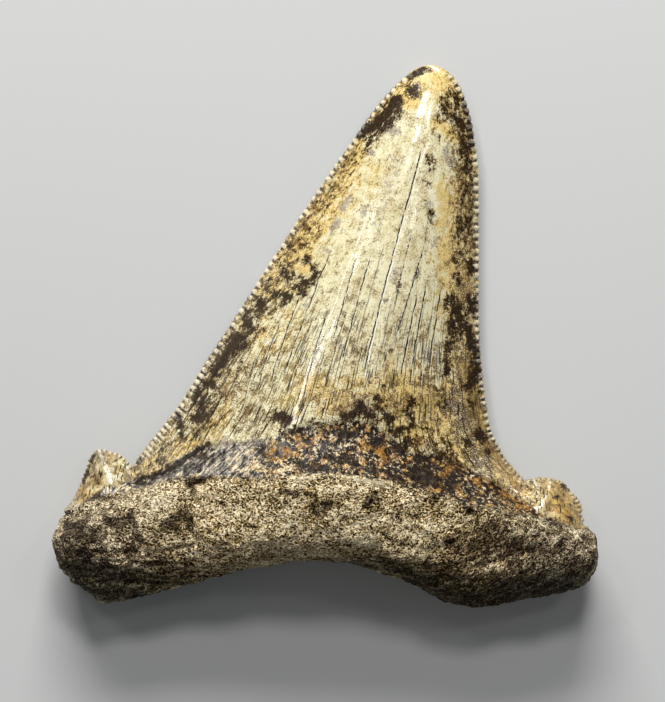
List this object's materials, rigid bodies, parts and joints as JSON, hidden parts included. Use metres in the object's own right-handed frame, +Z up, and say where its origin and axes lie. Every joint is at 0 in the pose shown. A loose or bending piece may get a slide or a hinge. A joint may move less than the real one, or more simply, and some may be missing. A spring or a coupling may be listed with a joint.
{
  "type": "fossil shark tooth",
  "caption": "Large fossil shark tooth with a serrated triangular crown that leans to one side, side cusplets and a two-lobed root, lying flat.",
  "frame": {"origin": "centre of the tooth's footprint box, on the surface it lies on", "axes": "+Z up through the thickness, from the flatter labial face it lies on to the bulging lingual face; +Y from the root towards the tip; +X across the root, towards the side the crown leans to"},
  "size_m": [0.0842, 0.0838, 0.0204],
  "materials": {
    "fossil": "glossy stained enamel on the crown, matt porous root"
  },
  "bodies": {
    "root": {"tooth": "fossil"}
  },
  "joints": []
}
